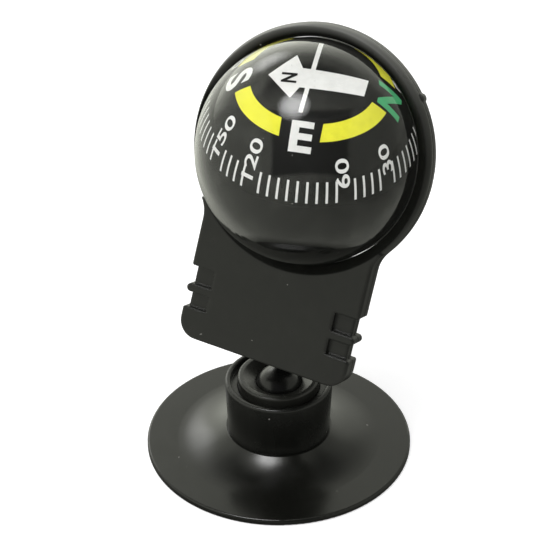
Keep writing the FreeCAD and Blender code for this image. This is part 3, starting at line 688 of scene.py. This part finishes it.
def ink(name, base, wear):
    """Printed ink: a little uneven, slightly raised grain, with worn pinholes that show the ground
    colour."""
    colours = bpy.context.scene.compass_colours
    material, tree, shader, _, place = start_material(name)
    grain = use_effect(tree, "mould_grain", place, Scale=12000.0)
    holes = use_effect(tree, "dust_specks", place, Scale=2600.0, Cover=wear, Size=0.22)
    uneven = blended(tree, grain.outputs["Tone"], opaque(base), toned(base, 0.9))
    worn = math_node(tree, "MULTIPLY", holes.outputs["Mask"], 0.8)
    tree.links.new(blended(tree, worn, uneven, opaque(colours.float_black)), shader.inputs["Base Color"])
    tree.links.new(spread(tree, grain.outputs["Tone"], 0.0, 1.0, 0.42, 0.55), shader.inputs["Roughness"])
    set_relief(tree, shader, grain.outputs["Height"], 0.3, 0.000005)
    shader.inputs["Specular IOR Level"].default_value = 0.1
    return material


def clear_material():
    """Clear plastic and liquid as one: glass that lets the lamps' light through, with handled patches on
    its skin and a skin that mirrors more where it turns away, as the wall inside it does."""
    colours = bpy.context.scene.compass_colours
    material, tree, shader, output, place = start_material("clear_ball_and_liquid")
    shader.inputs["Base Color"].default_value = opaque(colours.clear)
    shader.inputs["IOR"].default_value = 1.43
    shader.inputs["Transmission Weight"].default_value = 1.0
    shader.inputs["Coat Roughness"].default_value = 0.12
    shader.inputs["Coat IOR"].default_value = 1.6
    smudges = use_effect(tree, "smudges", place, Scale=110.0)
    handled = spread(tree, smudges.outputs["Mask"], 0.3, 0.95, 0.1, 0.5)
    facing = node(tree, "ShaderNodeLayerWeight", {"Blend": 0.5}).outputs["Facing"]
    coat = math_node(tree, "MAXIMUM", handled, spread(tree, facing, 0.45, 0.8))
    tree.links.new(coat, shader.inputs["Coat Weight"])
    tree.links.new(spread(tree, smudges.outputs["Mask"], 0.45, 1.0, 0.0, 0.07), shader.inputs["Roughness"])
    open_shader = node(tree, "ShaderNodeBsdfTransparent", {"Color": opaque(colours.clear)})
    path = tree.nodes.new("ShaderNodeLightPath")
    passing = math_node(tree, "MAXIMUM", path.outputs["Is Shadow Ray"], path.outputs["Is Diffuse Ray"])
    mix = node(tree, "ShaderNodeMixShader", {0: passing, 1: shader.outputs[0], 2: open_shader.outputs[0]})
    tree.links.new(mix.outputs[0], output.inputs["Surface"])
    return material


def seam_material():
    """The glued seam: cloudy plastic, darker than the ball. Inside the ball it also serves as painted shade
    along the ball's top edge.
    """
    colours = bpy.context.scene.compass_colours
    material, tree, shader, _, place = start_material("glued_seam")
    cloud = use_effect(tree, "mould_grain", place, Scale=6000.0)
    tones = opaque(colours.seam_dark), opaque(colours.seam_pale)
    tree.links.new(blended(tree, cloud.outputs["Tone"], *tones), shader.inputs["Base Color"])
    shader.inputs["Roughness"].default_value = 0.35
    shader.inputs["Transmission Weight"].default_value = 0.3
    return material


def matt_bore(material):
    """Makes the shells' material matt and dull on the bore's wall round the ball. A pale highlight is
    painted on the top of the ring, most toward its left."""
    colours = bpy.context.scene.compass_colours
    centre, across, up, front = [tuple(each) for each in head_frame()]
    tree = material.node_tree
    shader = next(each for each in tree.nodes if each.type == "BSDF_PRINCIPLED")
    place = next(each for each in tree.nodes if each.type == "TEX_COORD").outputs["Object"]
    from_middle = vector_node(tree, "SUBTRACT", place, centre, "Vector")
    right = vector_node(tree, "DOT_PRODUCT", from_middle, across)
    height = vector_node(tree, "DOT_PRODUCT", from_middle, up)
    on_axis = vector_node(tree, "PROJECT", from_middle, front, "Vector")
    from_axis = vector_node(tree, "DISTANCE", from_middle, on_axis)
    inside = spread(tree, from_axis, *BORE_WALL, 1.0, 0.0)
    # Painted highlight: a paler colour on the ring's top, strongest toward its left
    leftward = spread(tree, right, *HIGHLIGHT_SIDEWAYS, 1.0, 0.15)
    painted_highlight_mask = math_node(tree, "MULTIPLY", spread(tree, height, *HIGHLIGHT_UPWARD), leftward)
    painted_highlight_mask = math_node(tree, "MULTIPLY", painted_highlight_mask, spread(tree, from_axis, *HIGHLIGHT_OUTWARD))
    base, skin = shader.inputs["Base Color"], shader.inputs["Roughness"]
    shine = shader.inputs["Specular IOR Level"]
    tree.links.new(blended(tree, painted_highlight_mask, base.links[0].from_socket, opaque(colours.scuff)), base)
    tree.links.new(spread(tree, inside, 0.0, 1.0, skin.links[0].from_socket, 0.65), skin)
    tree.links.new(spread(tree, inside, 0.0, 1.0, shine.default_value, 0.08), shine)


def set_material(node_names, material):
    """Gives CAD nodes their material."""
    for name in node_names:
        mesh = frame["nodes"][name].data
        mesh.materials.clear()
        mesh.materials.append(material)


# Operators: the pieces

class COMPASS_OT_foot(bpy.types.Operator):
    """Finish the suction cup, its collar and the turning socket"""

    bl_idname = "compass.foot"
    bl_label = "Suction cup and socket"

    def execute(self, context):
        colours = context.scene.compass_colours
        set_material(["suction_cup"], moulded(
            "cup_rubber", colours.rubber,
            roughness=0.22, rub=0.06, grain=5000.0, depth=0.000006, dust=0.05, edge=0.00012))
        set_material(["socket_collar"], moulded(
            "collar_plastic", colours.collar, roughness=0.30, rub=0.08, depth=0.000008, dust=0.05))
        set_material(["ball_socket"], moulded(
            "socket_plastic", colours.socket, roughness=0.30, rub=0.08, depth=0.000008, dust=0.03))
        set_material(["friction_pad"], moulded(
            "pad_rubber", colours.rubber, roughness=0.7, grain=6000.0, depth=0.00002))
        return {"FINISHED"}


class COMPASS_OT_stud(bpy.types.Operator):
    """Finish the ball stud with its washer and screw"""

    bl_idname = "compass.stud"
    bl_label = "Ball stud"

    def execute(self, context):
        colours = context.scene.compass_colours
        set_material(["ball_stud"], moulded("stud_plastic", colours.ball, roughness=0.28, rub=0.08))
        steel = turned_metal("screw_steel", colours.steel, roughness=0.28)
        set_material(["stud_washer", "stud_screw", "shell_screws"], steel)
        return {"FINISHED"}


class COMPASS_OT_shells(bpy.types.Operator):
    """Finish the two halves of the ring and grip plate, the gasket and the filler plug"""

    bl_idname = "compass.shells"
    bl_label = "Ring and grip plate"

    def execute(self, context):
        colours = context.scene.compass_colours
        shell = moulded(
            "shell_plastic", colours.shell,
            roughness=0.34, rub=0.08, grain=9000.0, depth=0.000008, dust=0.06, edge=0.0008, shine=0.42)
        matt_bore(shell)
        set_material(["front_shell", "rear_shell"], shell)
        set_material(["capsule_gasket"], moulded(
            "gasket_rubber", colours.rubber, roughness=0.7, grain=6000.0, depth=0.00002))
        set_material(["filler_plug"], moulded("plug_plastic", colours.cradle, roughness=0.4))
        return {"FINISHED"}


class COMPASS_OT_clear_ball(bpy.types.Operator):
    """Make the clear ball with its liquid, and the two rings of its seam"""

    bl_idname = "compass.clear_ball"
    bl_label = "Clear ball"

    def execute(self, context):
        radius = context.scene.compass_sizes.ball_radius
        centre, across, _, front = head_frame()
        turn = np.linspace(0, np.pi, BALL_ROWS)
        profile = np.stack([np.sin(turn), np.cos(turn)], 1) * radius
        profile[[0, -1], 0] = 0.0
        points, faces = turned_surface(profile, BALL_COLUMNS, centre, front, across)
        ball = new_piece("clear_ball", points, faces, "head", clear_material())
        faces_outward(ball)
        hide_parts("capsule_front", "capsule_rear", "damping_liquid")
        glued = seam_material()
        seam_middle = centre - SEAM_SET_BACK * front
        # The ring inside the ball's skin is a glue line and also a dark band of painted shade at the ball's
        # top edge
        for name, (inner, outer) in SEAM_RINGS.items():
            low, high = radius + inner, radius + outer
            step = np.array([(low, 0), (high, 0), (high, -SEAM_WIDTH), (low, -SEAM_WIDTH), (low, 0)])
            points, faces = turned_surface(step, BALL_COLUMNS, seam_middle, front, across)
            ring = new_piece(name, points, faces, "head", glued, smooth=False)
            faces_outward(ring)
        return {"FINISHED"}


class COMPASS_OT_float(bpy.types.Operator):
    """Finish the float's two halves and what is inside them"""

    bl_idname = "compass.float"
    bl_label = "Float"

    def execute(self, context):
        colours = context.scene.compass_colours
        set_material(["float_top", "float_bottom"], moulded(
            "float_plastic", colours.float_black,
            roughness=0.5, grain=9000.0, depth=0.0000002, dust=0.06, dust_scale=1200.0, shine=0.1))
        set_material(["magnet_cradle"], moulded("cradle_plastic", colours.cradle, roughness=0.45, dust=0.01))
        set_material(["ballast_weight"], turned_metal("ballast_brass", colours.brass, roughness=0.3))
        magnet = turned_metal("magnet_metal", colours.magnet, roughness=0.45, metallic=0.6)
        set_material(["bar_magnet"], magnet)
        return {"FINISHED"}


class COMPASS_OT_printing(bpy.types.Operator):
    """Print the degree ring, the numbers, the letters, the bands and the arrow on the float"""

    bl_idname = "compass.printing"
    bl_label = "Printing"

    def execute(self, context):
        sizes, colours = context.scene.compass_sizes, context.scene.compass_colours
        white = ink("white_ink", colours.white_ink, wear=0.10)
        yellow = ink("yellow_ink", colours.yellow_ink, wear=0.05)
        green = ink("green_ink", colours.green_ink, wear=0.04)
        black = ink("black_ink", colours.float_black, wear=0.0)
        printed("degree_ticks", *tick_ring(sizes), white)
        printed("degree_numbers", *number_ring(sizes), white)
        letters = dial_letters(sizes)
        printed("north_letter", *letters.pop("N"), green)
        printed("other_letters", *joined(letters.values()), white)
        printed("yellow_bands", *joined([band_patch(first, last, sizes) for first, last in BANDS]), yellow)
        printed("heading_arrow", on_flat(ARROW, sizes), [list(range(len(ARROW)))], white)
        printed("arrow_letter", *arrow_letter(sizes), black)
        cross = [flat_strip(start, end, sizes) for start, end in CROSS_LINE]
        printed("east_west_line", *joined(cross), white)
        return {"FINISHED"}


# Operator: the stage

def aimed(location, target):
    """A rotation that points a lamp's -Z from its place at a target."""
    return (Vector(target) - Vector(location)).to_track_quat("-Z", "Y").to_euler()


def soft_lamp(name, lamp_power, location, size):
    """An oval soft lamp aimed at the object, brightest in its middle. Its size is its width and height."""
    light = bpy.data.lights.new(name, "AREA")
    light.energy = lamp_power
    light.shape = "ELLIPSE"
    light.size, light.size_y = size
    light.use_nodes = True
    tree = light.node_tree
    tree.nodes.clear()
    place = tree.nodes.new("ShaderNodeTexCoord").outputs["UV"]
    off_middle = vector_node(tree, "DISTANCE", place, (0.5, 0.5, 0.0))
    fall = spread(tree, off_middle, 0.16, 0.5, 1.6, 0.0)
    glow = node(tree, "ShaderNodeEmission", {"Color": (1, 1, 1, 1), "Strength": fall})
    node(tree, "ShaderNodeOutputLight", {"Surface": glow.outputs[0]})
    lamp = bpy.data.objects.new(name, light)
    lamp.location = location
    lamp.rotation_euler = aimed(location, LAMP_TARGET)
    bpy.context.scene.collection.objects.link(lamp)


def photo_camera():
    """The camera that took the photograph: on a rise in front, aimed at the origin, then tilted and panned.
    Gives the direction from the origin to it."""
    rise = math.radians(CAMERA_RISE)
    place = np.array([0, -math.cos(rise), math.sin(rise)]) * CAMERA_DISTANCE
    toward_camera = place / np.linalg.norm(place)
    ahead = -toward_camera
    right = np.array([1.0, 0, 0])
    up = np.cross(right, ahead)
    swing = turned(up, CAMERA_PAN) @ turned(right, CAMERA_TILT)
    right, up, ahead = swing @ right, swing @ up, swing @ ahead
    data = bpy.data.cameras.new("photo_camera")
    data.lens = CAMERA_LENS
    data.sensor_width = SENSOR_WIDTH
    data.clip_start, data.clip_end = 0.01, 50.0
    camera = bpy.data.objects.new("photo_camera", data)
    bpy.context.scene.collection.objects.link(camera)
    pose = Matrix.Identity(4)
    for column, axis in enumerate((right, up, -ahead, place)):
        for row in range(3):
            pose[row][column] = axis[row]
    camera.matrix_world = pose
    bpy.context.scene.camera = camera
    return toward_camera


def floor_material():
    """A pale floor that keeps the object's shadow and reads white where it is open. In the object's gloss it
    is the tent's white, dimmer to the right, with a painted shadow round the cup's foot and at a place
    behind the cup."""
    colours = bpy.context.scene.compass_colours
    material, tree, shader, output, place = start_material("studio_floor")
    cloud = use_effect(tree, "mould_grain", place, Scale=300.0)
    tones = opaque(colours.floor), toned(colours.floor, 0.985)
    tree.links.new(blended(tree, cloud.outputs["Tone"], *tones), shader.inputs["Base Color"])
    shader.inputs["Roughness"].default_value = 0.9
    shader.inputs["Specular IOR Level"].default_value = 0.0
    path = tree.nodes.new("ShaderNodeLightPath")
    seen = math_node(tree, "MAXIMUM", path.outputs["Is Camera Ray"], path.outputs["Is Transmission Ray"])
    lift = math_node(tree, "MULTIPLY", seen, FLOOR_GLOW)
    glow = node(tree, "ShaderNodeEmission", {"Color": (1, 1, 1, 1), "Strength": lift})
    both = node(tree, "ShaderNodeAddShader", {0: shader.outputs[0], 1: glow.outputs[0]})
    right = node(tree, "ShaderNodeSeparateXYZ", {0: place}).outputs["X"]
    # Painted shadow in the gloss: the mirrored floor is darker round the cup's foot and at a place behind
    # the cup
    away = vector_node(tree, "DISTANCE", place, (0.0, 0.0, 0.0))
    from_painted_shadow = vector_node(tree, "DISTANCE", place, PAINTED_SHADOW_PLACE)
    near = math_node(tree, "MULTIPLY", spread(tree, away, *FOOT_PAINTED_SHADOW, 0.25, 1.0),
                     spread(tree, from_painted_shadow, *PAINTED_SHADOW_REACH, 0.12, 1.0))
    tone = math_node(tree, "MULTIPLY", spread(tree, right, *FLOOR_SIDEWAYS, 0.90, 0.38), near)
    mirrored = node(tree, "ShaderNodeEmission", {"Color": opaque(TENT_WHITE), "Strength": tone})
    glossy = path.outputs["Is Glossy Ray"]
    mixed = node(tree, "ShaderNodeMixShader", {0: glossy, 1: both.outputs[0], 2: mirrored.outputs[0]})
    tree.links.new(mixed.outputs[0], output.inputs["Surface"])
    return material


def tent_opening(tree, place, toward_camera):
    """A mask for the tent's opening: a soft rectangle round the direction to the camera."""
    sideways = (1.0, 0.0, 0.0)
    upward = tuple(np.cross(toward_camera, sideways))
    across, up, ahead = [
        vector_node(tree, "DOT_PRODUCT", place, axis) for axis in (sideways, upward, tuple(toward_camera))
    ]
    opening = spread(tree, ahead, 0.2, 0.3)
    soft = OPENING_SOFTNESS
    for value, (low, high) in zip((across, up), OPENING_EDGES):
        rise = spread(tree, value, low - soft, low + soft)
        fall = spread(tree, value, high - soft, high + soft, 1.0, 0.0)
        opening = math_node(tree, "MULTIPLY", opening, math_node(tree, "MULTIPLY", rise, fall))
    return opening


def tent_world(toward_camera):
    """A tent round the object. The camera and clear things see it plain white, and matt surfaces get its
    even light. Glossy ones mirror it greyer on its right, brighter behind, and dim at its opening round the
    camera and at the back of its roof."""
    light = bpy.context.scene.compass_light
    world = bpy.data.worlds.new("tent")
    world.use_nodes = True
    tree = world.node_tree
    tree.nodes.clear()
    place = tree.nodes.new("ShaderNodeTexCoord").outputs["Generated"]
    opening = tent_opening(tree, place, toward_camera)
    right, back, up = node(tree, "ShaderNodeSeparateXYZ", {0: place}).outputs
    behind = math_node(
        tree, "MULTIPLY", spread(tree, back, 0.5, 0.75), spread(tree, up, 0.50, 0.66, 1.0, 0.0))
    walls = math_node(
        tree, "MULTIPLY", spread(tree, right, -0.35, 0.35, 1.0, 0.5), math_node(tree, "ADD", 1.0, behind))
    roof = math_node(tree, "MULTIPLY", spread(tree, up, 0.72, 0.82), spread(tree, back, 0.0, 0.3))
    dim = math_node(tree, "MAXIMUM", opening, math_node(tree, "MULTIPLY", roof, 0.85))
    tone = blended(tree, dim, opaque(TENT_WHITE), opaque([light.opening] * 3))
    shiny = node(tree, "ShaderNodeBackground", {"Color": tone, "Strength": walls})
    plain = node(tree, "ShaderNodeBackground", {"Color": (1, 1, 1, 1), "Strength": 1.0})
    diffuse = node(tree, "ShaderNodeBackground", {"Color": (1, 1, 1, 1), "Strength": light.tent})
    path = tree.nodes.new("ShaderNodeLightPath")
    glossy = path.outputs["Is Glossy Ray"]
    direct = math_node(tree, "MAXIMUM", path.outputs["Is Camera Ray"], path.outputs["Is Transmission Ray"])
    lit = node(tree, "ShaderNodeMixShader", {0: glossy, 1: diffuse.outputs[0], 2: shiny.outputs[0]})
    seen = node(tree, "ShaderNodeMixShader", {0: direct, 1: lit.outputs[0], 2: plain.outputs[0]})
    node(tree, "ShaderNodeOutputWorld", {"Surface": seen.outputs[0]})
    bpy.context.scene.world = world


class COMPASS_OT_stage(bpy.types.Operator):
    """Set up the camera, the pale floor and the soft studio light"""

    bl_idname = "compass.stage"
    bl_label = "Stage"

    def execute(self, context):
        light = context.scene.compass_light
        tent_world(photo_camera())
        soft_lamp("back_lamp", light.back_lamp, *BACK_LAMP)
        soft_lamp("top_lamp", light.top_lamp, *TOP_LAMP)
        half = FLOOR_HALF
        corners = [(-half, -half, 0), (half, -half, 0), (half, half, 0), (-half, half, 0)]
        mesh = bpy.data.meshes.new("floor")
        mesh.from_pydata(corners, [], [(0, 1, 2, 3)])
        mesh.materials.append(floor_material())
        floor = bpy.data.objects.new("floor", mesh)
        context.scene.collection.objects.link(floor)
        context.scene.view_settings.view_transform = "Standard"
        return {"FINISHED"}


# Add-on

OPERATORS = (
    COMPASS_OT_foot, COMPASS_OT_stud, COMPASS_OT_shells, COMPASS_OT_clear_ball, COMPASS_OT_float,
    COMPASS_OT_printing, COMPASS_OT_stage,
)


class COMPASS_PT_panel(bpy.types.Panel):
    """Lists the compass's pieces and its stage"""

    bl_idname = "COMPASS_PT_panel"
    bl_label = "Dashboard compass"
    bl_space_type = "VIEW_3D"
    bl_region_type = "UI"
    bl_category = "Compass"

    def draw(self, context):
        for operator in OPERATORS:
            self.layout.operator(operator.bl_idname)
        for name in ("compass_sizes", "compass_colours", "compass_light"):
            group = getattr(context.scene, name)
            box = self.layout.box()
            for key in group.bl_rna.properties.keys():
                if key not in ("rna_type", "name"):
                    box.prop(group, key)


CLASSES = (CompassSizes, CompassColours, CompassLight, *OPERATORS, COMPASS_PT_panel)


def register():
    for each in CLASSES:
        bpy.utils.register_class(each)
    bpy.types.Scene.compass_sizes = PointerProperty(type=CompassSizes)
    bpy.types.Scene.compass_colours = PointerProperty(type=CompassColours)
    bpy.types.Scene.compass_light = PointerProperty(type=CompassLight)


def unregister():
    del bpy.types.Scene.compass_light
    del bpy.types.Scene.compass_colours
    del bpy.types.Scene.compass_sizes
    for each in reversed(CLASSES):
        bpy.utils.unregister_class(each)


def main():
    """Registers the add-on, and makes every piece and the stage."""
    register()
    bpy.ops.compass.foot()
    bpy.ops.compass.stud()
    bpy.ops.compass.shells()
    bpy.ops.compass.clear_ball()
    bpy.ops.compass.float()
    bpy.ops.compass.printing()
    bpy.ops.compass.stage()


if __name__ == "__main__":
    main()
